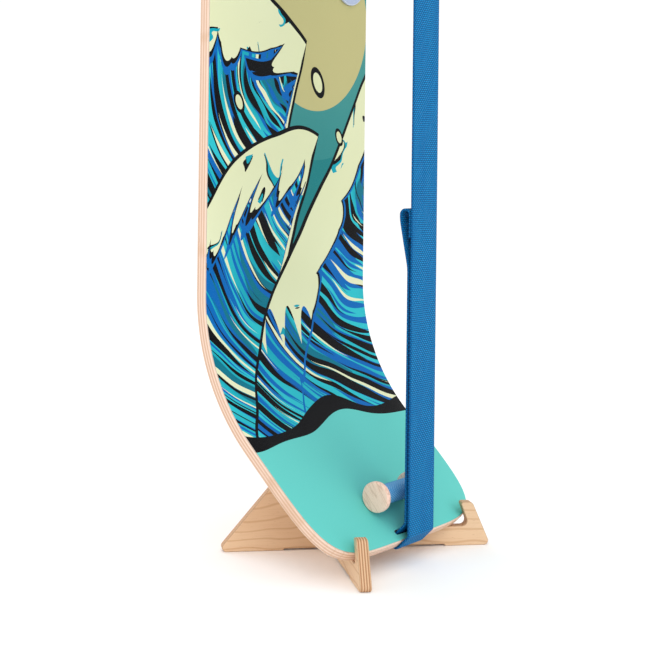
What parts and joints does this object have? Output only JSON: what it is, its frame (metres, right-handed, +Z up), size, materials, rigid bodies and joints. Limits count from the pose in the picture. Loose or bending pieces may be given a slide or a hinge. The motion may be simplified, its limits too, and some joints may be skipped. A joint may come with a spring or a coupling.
{
  "type": "balance board",
  "caption": "Bow-shaped plywood balance board with a webbing strap stretched between its bent ends and a small roller, standing upright in a crossed-plate stand.",
  "frame": {"origin": "on the floor, under the middle of the whole object's box", "axes": "+Z up along the standing board, -Y out of the printed face, X across the board"},
  "size_m": [0.32, 0.2308, 1.0175],
  "materials": {
    "deck_laminate": "satin lacquered maple laminate",
    "printed_sheet": "printed sheet, satin clear coat",
    "webbing": "woven polyester webbing",
    "hook_loop": "hook-and-loop pile",
    "pad": "satin moulded pad",
    "roller_wood": "sanded birch",
    "roller_rubber": "dimpled soft rubber",
    "stand_plywood": "bare sanded birch plywood"
  },
  "bodies": {
    "stand": {"stand_plate_lower": "stand_plywood", "stand_plate_upper": "stand_plywood"},
    "board": {"deck_core": "deck_laminate", "deck_top_sheet": "printed_sheet", "strap": "webbing", "strap_fastener_nose": "hook_loop", "strap_fastener_tail": "hook_loop", "pad_left": "pad", "pad_right": "pad"},
    "roller": {"roller_dowel": "roller_wood", "roller_cap_left": "roller_wood", "roller_cap_right": "roller_wood"},
    "grip": {"roller_grip": "roller_rubber"}
  },
  "joints": [
    {"name": "board_lift", "type": "slide", "parent": "stand", "child": "board", "axis": [0, 0.2419, 0.9703], "range_m": [0, 0.12]},
    {"name": "roller_travel", "type": "slide", "parent": "board", "child": "roller", "axis": [0, -0.0131, 0.9999], "range_m": [0, 0.22]},
    {"name": "grip_spin", "type": "hinge", "parent": "roller", "child": "grip", "pos_m": [-0.009, -0.06943, 0.07877], "axis": [1, 0, 0], "continuous": true}
  ]
}
